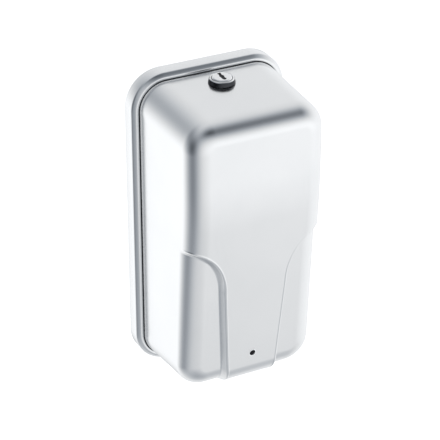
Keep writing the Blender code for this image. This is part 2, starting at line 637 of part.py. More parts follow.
# ------------------------------------------------------------------ dispensing head, nozzle, sensor
head = box("dispensing_head", -24, 24, -66, -40, -119.2, -103, GREY, bevel=1.5)
add_box(head, -9, 9, -80.5, -60, -106, -103)
cut_cyl(head, "Z", (0, PUMP_Y, -112), 4.6, 30, 24)
for s in (-1, 1):
    cut_cyl(head, "Z", (s * 14.5, PUMP_Y, -118), 4.6, 8, 24)
add_box(head, -22, -18, -42, -4.6, -106, -102.6)
add_box(head, 18, 22, -42, -4.6, -106, -102.6)
for s, nm in ((-1, "ir_emitter"), (1, "ir_receiver")):
    cyl(nm, "Z", (s * 14.5, PUMP_Y, -117.0), 4.2, 5.0, SMOKE, seg=24)
lathe("nozzle", [(1.4, 14.0), (2.2, 14.0), (2.2, 10.8), (5.8, 10.8), (5.8, 9.3), (4.2, 9.3), (4.2, -6.0), (2.8, -12.2),
                 (1.4, -12.2)], RUBBER,
      (0, PUMP_Y, -112), "Z", 24)

led_board = box("led_board", -8.0, 8.0, -78.6, -77.0, -102.6, -83, GREEN)
cut_cyl(led_board, "Y", (0, -78, LED_Z), 1.2, 8, 12)
lathe("led_lamp", [(0, 5.2), (1.2, 4.9), (2.0, 4.0), (2.4, 2.8), (2.4, 0.4), (0.9, 0.3), (0.9, -1.6), (0, -1.6)], RED,
      (0, -78.9, LED_Z), "-Y", 16)

# indicator window and its ring, in the cover
LEAN_A = math.atan(SLOPE)
LED_FY = -(DEPTH - lean(LED_Z))
win = lathe("led_window", [(0, 0.25), (LED_R - 0.3, 0.15), (LED_R, -0.2), (LED_R, -2.6), (0, -2.6)], SMOKE,
            (0, LED_FY, LED_Z), "-Y", 24)
win.rotation_euler = (math.radians(90) + LEAN_A, 0, 0)
win2 = lathe("led_grommet", [(LED_R + 0.06, -2.4), (LED_R + 0.06, 0.3), (LED_R + 0.9, 0.3), (LED_R + 1.0, 0.06),
                             (LED_R + 0.32, 0.06), (LED_R + 0.32, -1.3), (LED_R + 1.2, -1.3), (LED_R + 1.2, -2.4)], CHROME,
             (0, LED_FY, LED_Z), "-Y", 24)
win2.rotation_euler = (math.radians(90) + LEAN_A, 0, 0)

# ------------------------------------------------------------------ battery box and control box
bx0, bx1 = BAT_X
bz0, bz1 = BAT_Z
by0, by1 = BAT_Y
bbox = box("battery_box", bx0, bx1, by0, by1, bz0, bz1, BLACK)
cut_box(bbox, bx0 + 2, bx1 - 2, by0 - 5, by1 - 2, bz0 + 2, bz1 - 2)
for i, x in enumerate((bx0 + 9.6, bx1 - 9.6)):
    sgn = 1 if i == 0 else -1
    zc = (bz0 + bz1) / 2
    prof = [(0, -BATT_L / 2 + 0.0), (BATT_R - 0.4, -BATT_L / 2), (BATT_R, -BATT_L / 2 + 0.6), (BATT_R, BATT_L / 2 - 1.8),
            (BATT_R - 0.5, BATT_L / 2 - 1.2), (2.8, BATT_L / 2 - 1.2), (2.7, BATT_L / 2 + 0.2), (0, BATT_L / 2 + 0.3)]
    if sgn < 0:
        prof = [(r, -h) for r, h in prof]
    lathe("battery_%d" % (i + 1), prof, CELL, (x, (by0 + by1) / 2 - 0.4, zc - 0.3 * sgn), "Z", 24)
    # spring end and plate end contacts
    zs = bz0 + 2.2 if sgn > 0 else bz1 - 2.2
    zb_ = zc - 0.3 * sgn - sgn * BATT_L / 2
    turns, npt = 3.0, 30
    pts = []
    for k in range(npt + 1):
        a = 2 * math.pi * turns * k / npt
        rr = 4.6 - 2.0 * k / npt
        zz = zs + sgn * 0.45 + (zb_ - sgn * 0.75 - zs - sgn * 0.45) * k / npt
        pts.append((x + rr * math.cos(a), (by0 + by1) / 2 - 0.4 + rr * math.sin(a), zz))
    c = bpy.data.curves.new("battery_spring_%d" % (i + 1), "CURVE")
    c.dimensions = "3D"
    s_ = c.splines.new("POLY")
    s_.points.add(len(pts) - 1)
    for p, q in zip(s_.points, pts):
        p.co = (*vec(*q), 1.0)
    c.bevel_depth = mm(0.4)
    c.bevel_resolution = 1
    c.use_fill_caps = True
    c.materials.append(ZINC)
    link(bpy.data.objects.new("battery_spring_%d" % (i + 1), c))
    ze = bz1 - 2.3 if sgn > 0 else bz0 + 2.3
    box("battery_contact_%d" % (i + 1), x - 5, x + 5, by0 + 5, by1 - 4, *sorted((ze, ze - sgn * 0.5)), BRASS)
DOOR_HX, DOOR_HY = bx1 + 1.9, by0 - 1.6
door = box("battery_door", bx0, bx1 - 2.2, by0 - 2.4, by0 - 0.4, bz0, bz1, BLACK, (DOOR_HX, DOOR_HY, (bz0 + bz1) / 2))
add_box(door, bx1 - 4, DOOR_HX, by0 - 2.4, by0 - 0.9, bz0 + 14, bz1 - 14)
add_cyl(door, "Z", (DOOR_HX, DOOR_HY, (bz0 + bz1) / 2), 1.8, bz1 - bz0 - 28, 16)
cut_cyl(door, "Z", (DOOR_HX, DOOR_HY, (bz0 + bz1) / 2), 1.1, 80, 12)
for z in (bz0 + 10.2, bz1 - 10.2):
    add_box(bbox, bx1 - 1, DOOR_HX + 1.0, by0 - 1.6, by0 + 4, z - 3, z + 3)
    add_cyl(bbox, "Z", (DOOR_HX, DOOR_HY, z), 1.8, 6, 16)
cut_cyl(bbox, "Z", (DOOR_HX, DOOR_HY, (bz0 + bz1) / 2), 1.1, 80, 12)
cyl("battery_door_pin", "Z", (DOOR_HX, DOOR_HY, (bz0 + bz1) / 2), 0.8, 46, ZINC, seg=12)
for z in (bz0 + 12, bz1 - 12):
    add_box(bbox, bx0 + 12, bx1 - 12, by1 - 1, -4.5, z - 3, z + 3)

ctl = box("control_box", 10, 46, -38, -8, -35, -20, BLACK)
cut_box(ctl, 12, 44, -36, 0, -33, -22)
cut_box(ctl, 15.5, 24.5, -42, -34, -30, -25)
cut_cyl(ctl, "Y", (36, -37, -27.5), 3.4, 10, 20)
for x in (12.2, 43.8):
    add_box(ctl, x - 1.2, x + 1.2, -10, -4.5, -32, -23)
box("circuit_board", 12.6, 43.4, -29.6, -28.0, -32.6, -22.4, GREEN)
SW = box("power_switch", 16.2, 20.2, -40.5, -30.2, -29.4, -25.6, RED, (18.2, -38, -27.5))
BT = cyl("prime_button", "Y", (36, -36.0, -27.5), 3.0, 7.4, WHITE, seg=20)

# ------------------------------------------------------------------ cover lock on top, keeper on the pan
z_top = F_TOP + (R_HH - F_TOP) * (DEPTH - EDGE_R + LOCK_Y) / (DEPTH - EDGE_R - PAN_D)
ZL = z_top + 0.35
lo = (0, LOCK_Y, ZL)
TILT = math.atan2(R_HH - F_TOP, DEPTH - EDGE_R - PAN_D)       # the lock stands square to the sloping top


def tilt(ob):
    """Set a lock piece, whose origin is lo, square to the cover's top."""
    ob.rotation_euler.x += TILT
    return ob


body = lathe("lock_body", [(8.3, 4.3), (8.7, 4.6), (9.2, 4.5), (9.9, 4.0), (10.6, 2.8), (LOCK_R, 0.9), (LOCK_R, 0.0), (9.2, 0.0),
                           (9.2, -13.5), (5.0, -13.5), (5.0, -1.0), (8.3, -1.0)], CHROME, lo, "Z", 36)
plug = lathe("lock_plug", [(0, 5.6), (7.0, 5.6), (7.6, 5.3), (8.0, 4.7), (8.0, -0.6), (4.6, -0.6), (4.6, -14.6), (0, -14.6)], CHROME, lo, "Z", 32)
KEY_A = math.radians(-76)
kpts = [(-4.9, 1.5), (-3.6, 1.9), (-1.6, 0.9), (0.6, 0.75), (2.4, -0.2), (4.9, -0.5), (4.9, -1.7), (2.6, -1.7), (0.4, -1.1), (-1.2, -0.7),
        (-3.0, 0.4), (-4.9, 0.4)]
kc = [(x * math.cos(KEY_A) - y * math.sin(KEY_A), LOCK_Y + x * math.sin(KEY_A) + y * math.cos(KEY_A)) for x, y in kpts]
boolean(plug, tilt(plate("lock_plug.key", "Z", kc, ZL + 2.0, ZL + 8.0, None, lo, coll=TOOLS)))
tilt(body)
tilt(plug)
nut = cyl("lock_nut", "Z", (0, LOCK_Y, ZL - 3.4), 13.0, 3.0, ZINC, lo, 6)
boolean(nut, tilt(cyl("lock_nut.c", "Z", (0, LOCK_Y, ZL - 3.4), 9.5, 10, None, lo, 36, coll=TOOLS)))
tilt(nut)
CAM_Z = ZL - 16.4
cam = plate("lock_cam", "Z", slot_outline(0, LOCK_Y, LOCK_Y + 15.5, 4.4), CAM_Z, CAM_Z + 1.5, ZINC, lo)
tilt(cam)
csc = lathe("cam_screw", [(0, -16.7), (3.4, -16.7), (3.4, -18.2), (2.8, -19.0), (0, -19.0)], ZINC, lo, "Z", 16)
tilt(csc)
kz, kt = CAM_Z - 6.0, 1.4
keeper = plate("lock_keeper", "X", [(-1.5, kz - 8), (-1.5, kz + kt), (-40.8, kz + kt), (-40.8, kz + 11), (-42.2, kz + 11),
                                    (-42.2, kz), (-2.9, kz), (-2.9, kz - 8)], 12, 26, ZINC)

# ------------------------------------------------------------------ bottom hinge
hy, hz = HINGE_Y, HINGE_Z
pan_hinge = box("pan_hinge", -37, 37, -3.0, -1.5, -118, -108, ZINC)
cov_hinge = box("cover_hinge", -33, 33, -33.6, -27.4, -118.4, -117.2, ZINC, (0, hy, hz))
for s in (-1, 1):
    add_box(pan_hinge, *sorted((s * 33.8, s * 36.2)), hy, -2.0, hz - 2.6, hz + 2.6)
    add_cyl(pan_hinge, "X", (s * 35.0, hy, hz), 3.0, 2.4, 20)
    add_box(cov_hinge, *sorted((s * 29.2, s * 31.2)), -32.0, hy, -118.3, hz + 1.0)
    add_cyl(cov_hinge, "X", (s * 30.2, hy, hz), 3.0, 2.0, 20)
cut_cyl(pan_hinge, "X", (0, hy, hz), PIN_R + 0.3, 90, 16)
cut_cyl(cov_hinge, "X", (0, hy, hz), PIN_R + 0.3, 90, 16)
cyl("hinge_pin", "X", (0, hy, hz), PIN_R, 76.0, ZINC, seg=16)
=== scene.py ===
import json
import math
import bpy
import bmesh
import numpy as np
from mathutils import Matrix, Vector
from mathutils.geometry import delaunay_2d_cdt


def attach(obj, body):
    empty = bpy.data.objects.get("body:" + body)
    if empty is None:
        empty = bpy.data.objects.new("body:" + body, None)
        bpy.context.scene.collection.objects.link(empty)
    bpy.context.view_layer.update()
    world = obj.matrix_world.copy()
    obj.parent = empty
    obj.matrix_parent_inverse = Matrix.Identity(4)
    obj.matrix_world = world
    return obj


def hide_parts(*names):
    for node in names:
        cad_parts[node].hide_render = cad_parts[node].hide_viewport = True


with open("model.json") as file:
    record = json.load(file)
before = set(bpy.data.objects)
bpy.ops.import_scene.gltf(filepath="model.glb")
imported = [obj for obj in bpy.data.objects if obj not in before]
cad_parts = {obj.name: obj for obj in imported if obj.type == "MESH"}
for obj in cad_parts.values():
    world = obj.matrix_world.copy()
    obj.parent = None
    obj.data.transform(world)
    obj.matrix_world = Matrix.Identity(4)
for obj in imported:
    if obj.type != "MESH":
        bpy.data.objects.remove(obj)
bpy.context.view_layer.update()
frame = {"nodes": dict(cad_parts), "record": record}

NODES = frame["nodes"]

# ------------------------------------------------------------------ camera (metres, degrees)
AZ, EL = math.radians(-26.746), math.radians(29.059)
DIST, OFF_X, OFF_Y = 1.57241, -0.01455, 0.01362
back = Vector((math.sin(AZ) * math.cos(EL), -math.cos(AZ) * math.cos(EL), math.sin(EL)))
right = (-back).cross(Vector((0, 0, 1))).normalized()
upv = right.cross(-back).normalized()
cam_data = bpy.data.cameras.new("camera")
cam_data.lens = 161.65
cam_data.sensor_width = 36.0
cam_data.clip_start, cam_data.clip_end = 0.05, 50.0
cam = bpy.data.objects.new("camera", cam_data)
bpy.context.scene.collection.objects.link(cam)
cam.location = back * DIST - right * OFF_X - upv * OFF_Y
cam.rotation_mode = "QUATERNION"
cam.rotation_quaternion = Matrix((right, upv, back)).transposed().to_quaternion()
bpy.context.scene.camera = cam


# ------------------------------------------------------------------ node helpers
class Tree:
    """Small builder for shader node trees."""

    def __init__(self, tree):
        self.t = tree
        tree.nodes.clear()

    def new(self, kind, **props):
        n = self.t.nodes.new(kind)
        for k, v in props.items():
            setattr(n, k, v)
        return n

    def link(self, a, b):
        self.t.links.new(a, b)

    def put(self, socket, value):
        if isinstance(value, bpy.types.NodeSocket):
            self.link(value, socket)
        else:
            socket.default_value = value

    def math(self, op, a, b=0.0, c=None, clamp=False):
        n = self.new("ShaderNodeMath", operation=op, use_clamp=clamp)
        self.put(n.inputs[0], a)
        self.put(n.inputs[1], b)
        if c is not None:
            self.put(n.inputs[2], c)
        return n.outputs[0]

    def remap(self, v, a, b, c, d, smooth=False):
        n = self.new("ShaderNodeMapRange", interpolation_type="SMOOTHSTEP" if smooth else "LINEAR")
        n.clamp = True
        self.put(n.inputs["Value"], v)
        for k, x in (("From Min", a), ("From Max", b), ("To Min", c), ("To Max", d)):
            self.put(n.inputs[k], x)
        return n.outputs["Result"]

    def coords(self, scale=(1, 1, 1), rot=(0, 0, 0)):
        tc = self.new("ShaderNodeTexCoord")
        mp = self.new("ShaderNodeMapping")
        mp.inputs["Scale"].default_value = scale
        mp.inputs["Rotation"].default_value = rot
        self.link(tc.outputs["Object"], mp.inputs["Vector"])
        return mp.outputs["Vector"]

    def noise(self, vec, scale, detail=2.0, rough=0.5):
        n = self.new("ShaderNodeTexNoise")
        self.link(vec, n.inputs["Vector"])
        n.inputs["Scale"].default_value = scale
        n.inputs["Detail"].default_value = detail
        n.inputs["Roughness"].default_value = rough
        return n.outputs["Fac"]

    def mix(self, fac, a, b):
        n = self.new("ShaderNodeMix", data_type="RGBA")
        self.put(n.inputs[0], fac)
        self.put(n.inputs[6], a if isinstance(a, bpy.types.NodeSocket) else (*a, 1.0))
        self.put(n.inputs[7], b if isinstance(b, bpy.types.NodeSocket) else (*b, 1.0))
        return n.outputs[2]

    def bump(self, height, strength, dist, normal=None):
        n = self.new("ShaderNodeBump")
        n.inputs["Strength"].default_value = strength
        n.inputs["Distance"].default_value = dist
        self.link(height, n.inputs["Height"])
        if normal is not None:
            self.link(normal, n.inputs["Normal"])
        return n.outputs["Normal"]


def principled(name, color, rough, metal=0.0, normal=None, **extra):
    """New material; color and rough may be numbers or functions of the tree that return a socket."""
    m = bpy.data.materials.new(name)
    m.use_nodes = True
    t = Tree(m.node_tree)
    b = t.new("ShaderNodeBsdfPrincipled")
    o = t.new("ShaderNodeOutputMaterial")
    t.link(b.outputs[0], o.inputs["Surface"])
    c = color(t) if callable(color) else (*color, 1.0)
    t.put(b.inputs["Base Color"], c)
    t.put(b.inputs["Roughness"], rough(t) if callable(rough) else rough)
    b.inputs["Metallic"].default_value = metal
    if normal:
        t.link(normal(t), b.inputs["Normal"])
    for k, v in extra.items():
        b.inputs[k].default_value = v
    if callable(color):
        m.diffuse_color = (0.6, 0.6, 0.6, 1.0)
    else:
        m.diffuse_color = (*color, 1.0)
    return m


def brushed(name, c1, c2, r1, r2, grain=(260.0, 260.0, 9.0), bump=0.02, dist=0.00002, metal=1.0):
    """Satin metal: fine hairlines along one axis, a soft cloudy tone and slow roughness changes."""
    def col(t):
        cloud = t.noise(t.coords((1, 1, 1)), 22.0, 3.0, 0.55)
        hair = t.noise(t.coords(grain), 6.0, 3.0, 0.6)
        f = t.math("ADD", t.math("MULTIPLY", cloud, 0.65), t.math("MULTIPLY", hair, 0.35))
        return t.mix(t.remap(f, 0.32, 0.68, 0.0, 1.0), c1, c2)

    def rgh(t):
        hair = t.noise(t.coords(grain), 9.0, 3.0, 0.6)
        cloud = t.noise(t.coords((1, 1, 1)), 14.0, 2.0, 0.5)
        f = t.math("ADD", t.math("MULTIPLY", hair, 0.6), t.math("MULTIPLY", cloud, 0.4))
        return t.remap(f, 0.3, 0.7, r1, r2)

    def nrm(t):
        return t.bump(t.noise(t.coords(grain), 12.0, 3.0, 0.65), bump, dist)
    return principled(name, col, rgh, metal, nrm)


def moulded(name, c1, c2, r1, r2, scale=1500.0, bump=0.12, dist=0.00004, **extra):
    """Moulded plastic: spark-eroded grain, faint flow tone."""
    def col(t):
        return t.mix(t.remap(t.noise(t.coords(), 35.0, 3.0, 0.6), 0.35, 0.65, 0.0, 1.0), c1, c2)

    def rgh(t):
        return t.remap(t.noise(t.coords(), 60.0, 3.0, 0.6), 0.3, 0.7, r1, r2)

    def nrm(t):
        return t.bump(t.noise(t.coords(), scale, 2.0, 0.5), bump, dist)
    return principled(name, col, rgh, 0.0, nrm, **extra)


# ------------------------------------------------------------------ materials
M_COVER = brushed("cover_satin_steel", (0.795, 0.80, 0.805), (0.83, 0.832, 0.835), 0.17, 0.22)
M_PAN = brushed("pan_satin_steel", (0.78, 0.785, 0.79), (0.82, 0.825, 0.83), 0.17, 0.23, grain=(260.0, 260.0, 12.0))
M_CHROME = brushed("lock_plate", (0.80, 0.805, 0.815), (0.85, 0.855, 0.86), 0.09, 0.14, grain=(300.0, 300.0, 300.0), bump=0.01)
# near-black copy of the lock chrome: painted shade for the bezel's side wall, standing in for the dark reflection it
# catches
M_BEZEL_SIDE_SHADE = brushed("lock_bezel_side_painted_shade", (0.035, 0.037, 0.042), (0.060, 0.062, 0.068), 0.16, 0.22, grain=(300.0, 300.0, 300.0), bump=0.01)
M_RING = moulded("indicator_ring", (0.86, 0.87, 0.88), (0.90, 0.905, 0.91), 0.22, 0.30, bump=0.02)
M_ZINC = brushed("zinc_plate", (0.50, 0.515, 0.54), (0.64, 0.65, 0.66), 0.26, 0.40, grain=(90.0, 90.0, 90.0), bump=0.05)
M_BRASS = brushed("brass", (0.68, 0.50, 0.22), (0.80, 0.62, 0.32), 0.20, 0.34, grain=(300.0, 20.0, 300.0), bump=0.04)
M_GREY = moulded("grey_abs", (0.155, 0.162, 0.175), (0.185, 0.192, 0.205), 0.44, 0.56)
M_WHITE = moulded("white_abs", (0.72, 0.73, 0.73), (0.78, 0.785, 0.78), 0.38, 0.48)
M_BLACK = moulded("black_abs", (0.018, 0.018, 0.020), (0.028, 0.028, 0.031), 0.40, 0.52)
M_SMOKE = moulded("smoked_acrylic", (0.004, 0.004, 0.006), (0.007, 0.007, 0.010), 0.05, 0.09, bump=0.0)
M_ACETAL = moulded("acetal", (0.74, 0.73, 0.68), (0.80, 0.79, 0.75), 0.30, 0.40, bump=0.05)
M_RUBBER = moulded("black_rubber", (0.012, 0.012, 0.013), (0.022, 0.022, 0.023), 0.62, 0.78, bump=0.2)
M_RED = moulded("red_plastic", (0.42, 0.018, 0.014), (0.50, 0.025, 0.02), 0.26, 0.36, bump=0.04)
M_SILI = moulded("silicone", (0.70, 0.71, 0.70), (0.78, 0.79, 0.78), 0.30, 0.42, bump=0.03)
M_SILI.node_tree.nodes["Principled BSDF"].inputs["Subsurface Weight"].default_value = 0.25
M_TANK = moulded("tank_polyethylene", (0.80, 0.83, 0.83), (0.86, 0.88, 0.88), 0.30, 0.42, scale=260.0, bump=0.06)
M_TANK.node_tree.nodes["Principled BSDF"].inputs["Transmission Weight"].default_value = 0.55
M_TANK.node_tree.nodes["Principled BSDF"].inputs["IOR"].default_value = 1.5
M_CLEAR = moulded("clear_cover", (0.86, 0.90, 0.92), (0.90, 0.93, 0.95), 0.04, 0.08, bump=0.0)
M_CLEAR.node_tree.nodes["Principled BSDF"].inputs["Transmission Weight"].default_value = 0.92
M_CLEAR.node_tree.nodes["Principled BSDF"].inputs["IOR"].default_value = 1.49
M_CELL = brushed("cell_jacket", (0.028, 0.055, 0.13), (0.045, 0.08, 0.17), 0.26, 0.36, grain=(10, 10, 200), bump=0.0, metal=0.35)


def board_color(t):
    """Solder mask with a grid of tracks and tinned pads."""
    v = t.coords((1, 1, 1))
    ck = t.new("ShaderNodeTexBrick")
    t.link(v, ck.inputs["Vector"])
    ck.inputs["Scale"].default_value = 420.0
    ck.inputs["Mortar Size"].default_value = 0.03
    ck.inputs["Color1"].default_value = (0.012, 0.10, 0.045, 1)
    ck.inputs["Color2"].default_value = (0.010, 0.085, 0.04, 1)
    ck.inputs["Mortar"].default_value = (0.03, 0.20, 0.09, 1)
    vo = t.new("ShaderNodeTexVoronoi")
    t.link(v, vo.inputs["Vector"])
    vo.inputs["Scale"].default_value = 420.0
    pad = t.remap(vo.outputs["Distance"], 0.14, 0.17, 1.0, 0.0)
    return t.mix(pad, ck.outputs["Color"], (0.62, 0.62, 0.58))


M_BOARD = principled("circuit_board", board_color, lambda t: t.remap(t.noise(t.coords(), 120.0), 0.3, 0.7, 0.28, 0.42))

SLOT_MATS = {"cover_steel": M_COVER, "pan_steel": M_PAN, "lock_chrome": M_CHROME, "zinc": M_ZINC, "grey_plastic": M_GREY,
             "white_plastic": M_WHITE, "black_plastic": M_BLACK, "tank_plastic": M_TANK, "clear_plastic": M_CLEAR,
             "silicone": M_SILI, "nozzle_rubber": M_RUBBER, "acetal": M_ACETAL, "brass": M_BRASS,
             "smoked_window": M_SMOKE, "board": M_BOARD, "red_plastic": M_RED, "battery_jacket": M_CELL}
SLOT_OF = {s["node"]: s["material_slot"] for s in frame["record"]["subparts"]}


def paint(ob, mat):
    ob.data.materials.clear()
    ob.data.materials.append(mat)


for name, ob in NODES.items():
    paint(ob, SLOT_MATS[SLOT_OF[name]])


# ------------------------------------------------------------------ mesh helpers (millimetres in, metres out)
def mm(v):
    return v * 0.001


def new_object(name, bm, mat, smooth=True, angle=38.0, world=None):
    bmesh.ops.scale(bm, verts=bm.verts, vec=(0.001, 0.001, 0.001))
    me = bpy.data.meshes.new(name)
    bm.to_mesh(me)
    bm.free()
    if smooth:
        me.shade_smooth()
        me.set_sharp_from_angle(angle=math.radians(angle))
    me.materials.append(mat)
    ob = bpy.data.objects.new(name, me)
    bpy.context.scene.collection.objects.link(ob)
    if world is not None:
        ob.matrix_world = world
    return ob


def apply_modifiers(ob, angle=38.0):
    dg = bpy.context.evaluated_depsgraph_get()
    me = bpy.data.meshes.new_from_object(ob.evaluated_get(dg))
    ob.modifiers.clear()
    ob.data = me
    me.shade_smooth()
    me.set_sharp_from_angle(angle=math.radians(angle))


def cut(ob, tool, op="DIFFERENCE"):
    m = ob.modifiers.new("cut", "BOOLEAN")
    m.operation = op
    m.solver = "EXACT"
    m.object = tool


def done_with(tools):
    for tl in tools:
        bpy.data.objects.remove(tl, do_unlink=True)


def bm_box(x0, x1, y0, y1, z0, z1):
    bm = bmesh.new()
    bmesh.ops.create_cube(bm, size=1.0)
    bmesh.ops.scale(bm, verts=bm.verts, vec=(x1 - x0, y1 - y0, z1 - z0))
    bmesh.ops.translate(bm, verts=bm.verts, vec=((x0 + x1) / 2, (y0 + y1) / 2, (z0 + z1) / 2))
    return bm


def bm_cyl(axis, c, r, length, seg=48, r2=None):
    bm = bmesh.new()
    bmesh.ops.create_cone(bm, cap_ends=True, cap_tris=False, segments=seg, radius1=r, radius2=r if r2 is None else r2, depth=length)
    rot = {"X": Matrix.Rotation(math.radians(90), 4, "Y"), "Y": Matrix.Rotation(math.radians(-90), 4, "X"), "Z": Matrix.Identity(4)}[axis]
    bmesh.ops.transform(bm, matrix=rot, verts=bm.verts)
    bmesh.ops.translate(bm, verts=bm.verts, vec=c)
    return bm


def bm_lathe(profile, seg=96):
    """Closed ring or capped solid turned about Z from (radius, height) pairs; returned in local axes."""
    bm = bmesh.new()
    area = sum(a[0] * b[1] - b[0] * a[1] for a, b in zip(profile, profile[1:] + profile[:1]))
    if area < 0:
        profile = profile[::-1]
    rows = []
    for r, h in profile:
        if r < 1e-6:
            rows.append([bm.verts.new((0, 0, h))])
        else:
            rows.append([bm.verts.new((r * math.cos(2 * math.pi * i / seg), r * math.sin(2 * math.pi * i / seg), h)) for i in range(seg)])
    closed = all(len(r) > 1 for r in rows)
    pairs = list(zip(rows, rows[1:] + rows[:1])) if closed else list(zip(rows, rows[1:]))
    for a, b in pairs:
        for i in range(seg):
            j = (i + 1) % seg
            if len(a) == 1 and len(b) == 1:
                break
            if len(a) == 1:
                bm.faces.new((a[0], b[j], b[i]))
            elif len(b) == 1:
                bm.faces.new((a[i], a[j], b[0]))
            else:
                bm.faces.new((a[i], a[j], b[j], b[i]))
    bmesh.ops.recalc_face_normals(bm, faces=bm.faces)
    return bm


def rounded(profile, r=0.25, n=4, closed=True):
    """Round the corners of a profile polyline by radius r (points on the axis stay)."""
    out = []
    m = len(profile)
    for i in range(m):
        p = Vector((*profile[i], 0))
        a = Vector((*profile[i - 1], 0))
        b = Vector((*profile[(i + 1) % m], 0))
        if p.x < 1e-6 or (p - a).length < 1e-6 or (b - p).length < 1e-6:
            out.append(profile[i])
            continue
        u, v = (a - p), (b - p)
        lim = min(u.length, v.length) * 0.45
        ang = u.angle(v)
        if ang > math.radians(172):
            out.append(profile[i])
            continue
        t = min(r / math.tan(ang / 2), lim)
        s, e = p + u.normalized() * t, p + v.normalized() * t
        for k in range(n + 1):
            w = k / n
            q = s.lerp(p, w).lerp(p.lerp(e, w), w)
            out.append((q.x, q.y))
    return out


# ------------------------------------------------------------------ cover: the same surface as the CAD, finer
PAN_W, PAN_H, PAN_D = 130.0, 254.0, 15.2
PAN_R, PAN_T, LIP, GAP = 28.4, 1.2, 5.3, 0.4
COV_T, DEPTH, REAR_Y = 1.0, 100.0, 12.5
F_HW, F_TOP, F_BOT = 57.25, 118.7, -117.2
F_R, EDGE_R = 22.0, 16.25
R_HW, R_HH, R_R = PAN_W / 2 - LIP - GAP, PAN_H / 2 - LIP - GAP, PAN_R - LIP - GAP
SLOPE, SLOPE_Z, SLOPE_L, STEP = 0.08, 68.0, 37.0, 5.5
TNG_CX, TNG_CZ, TNG_AX, TNG_AZ, TNG_TAPER = 58.0, -28.0, 32.0, 42.0, 0.066
WALL_H, WALL_W, WALL_S = 1.5, 0.4, 1.9                      # step wall: half width of the ramp, half width of its rounding
LOCK_Y, LED_Z, LED_R = -35.4, -90.2, 2.45
OPEN_X, OPEN_Y0, OPEN_Y1 = 27.0, -68.0, -38.0


def lean(z):
    t = np.maximum(SLOPE_Z - np.asarray(z, float), 0.0)
    return np.where(t < SLOPE_L, SLOPE * t * t / (2 * SLOPE_L), SLOPE * (t - SLOPE_L / 2))


def step_line(n_shoulder=48, n_leg=36):
    pts = []
    for i in range(n_shoulder + 1):
        a = math.radians(90.0 * i / n_shoulder)
        pts.append((TNG_CX - TNG_AX * math.sin(a), TNG_CZ + TNG_AZ * math.cos(a)))
    z_end = F_BOT - 4.0
    for i in range(1, n_leg + 1):
        z = TNG_CZ + (z_end - TNG_CZ) * i / n_leg
        pts.append((TNG_CX - TNG_AX - TNG_TAPER * (TNG_CZ - z), z))
    out = []
    for i, (x, z) in enumerate(pts):
        a, b = pts[max(i - 1, 0)], pts[min(i + 1, len(pts) - 1)]
        tx, tz = b[0] - a[0], b[1] - a[1]
        ln = math.hypot(tx, tz)
        out.append((x, z, -tz / ln, tx / ln))
    return out


LINE = step_line()
LA = np.array([(p[0], p[1]) for p in LINE])


def line_dist(x, z):
    """Signed distance to the step line, positive in the recess."""
    P = np.stack([np.abs(np.asarray(x, float)), np.asarray(z, float)], -1).reshape(-1, 2)
    A, B = LA[:-1], LA[1:]
    D = B - A
    t = np.clip(((P[:, None] - A) * D).sum(-1) / (D * D).sum(-1), 0, 1)
    Q = A + t[..., None] * D
    dist = np.linalg.norm(P[:, None] - Q, axis=-1)
    k = dist.argmin(1)
    r = np.arange(len(P))
    off = P - Q[r, k]
    side = off[:, 0] * (-D[k, 1]) + off[:, 1] * D[k, 0]
    return np.where(side > 0, dist[r, k], -dist[r, k]).reshape(np.shape(x))


def ramp(s):
    """0 on the panel, 1 in the recess, with a rounded head and foot and a fine raised bead along the head."""
    def integral(u):
        return np.where(u < -WALL_H, 0.0, np.where(u > WALL_H, u, (u + WALL_H) ** 2 / (4 * WALL_H)))
    s = s - WALL_S
    bead = 0.45 / STEP * np.exp(-((s + WALL_H + WALL_W + 0.6) / 0.42) ** 2)
    return (integral(s + WALL_W) - integral(s - WALL_W)) / (2 * WALL_W) - bead


def shape(x, z, drop):
    """y of the cover's front at (x, z) with the edge rounding's drop taken off."""
    k = (lean(z) + STEP * ramp(line_dist(x, z))) / (DEPTH - PAN_D)
    d = DEPTH - drop - PAN_D
    return -(PAN_D + d * (1.0 - k))


def rrect(hw, zt, zb, r, n, zs, xs):
    pts = []
    zs = sorted(z for z in zs if zb + r + 0.3 < z < zt - r - 0.3)
    xs = sorted(x for x in xs if -hw + r + 0.3 < x < hw - r - 0.3)
    for k, (cx, cz, a0) in enumerate(((hw - r, zb + r, -90), (hw - r, zt - r, 0), (-hw + r, zt - r, 90), (-hw + r, zb + r, 180))):
        for i in range(n + 1):
            a = math.radians(a0 + 90.0 * i / n)
            pts.append((cx + r * math.cos(a), cz + r * math.sin(a)))
        if k == 0:
            pts += [(hw, z) for z in zs]
        elif k == 1:
            pts += [(x, zt) for x in reversed(xs)]
        elif k == 2:
            pts += [(-hw, z) for z in reversed(zs)]
        else:
            pts += [(x, zb) for x in xs]
    return pts


def spread(lo, hi, base, dense, d0, d1):
    """Sample positions: coarse everywhere, dense in the ranges d0..d1."""
    out, v = [], lo
    while v < hi:
        out.append(v)
        v += dense if any(a - base < v < b for a, b in zip(d0, d1)) else base
    return out


OFFSETS = sorted({k * d for d in (0.0, 0.3, 0.6, 0.85, 1.1, 1.35, 1.65, 2.0, 2.5, 3.0, 3.5, 3.8, 4.1, 4.5, 5.0) for k in (-1, 1)})


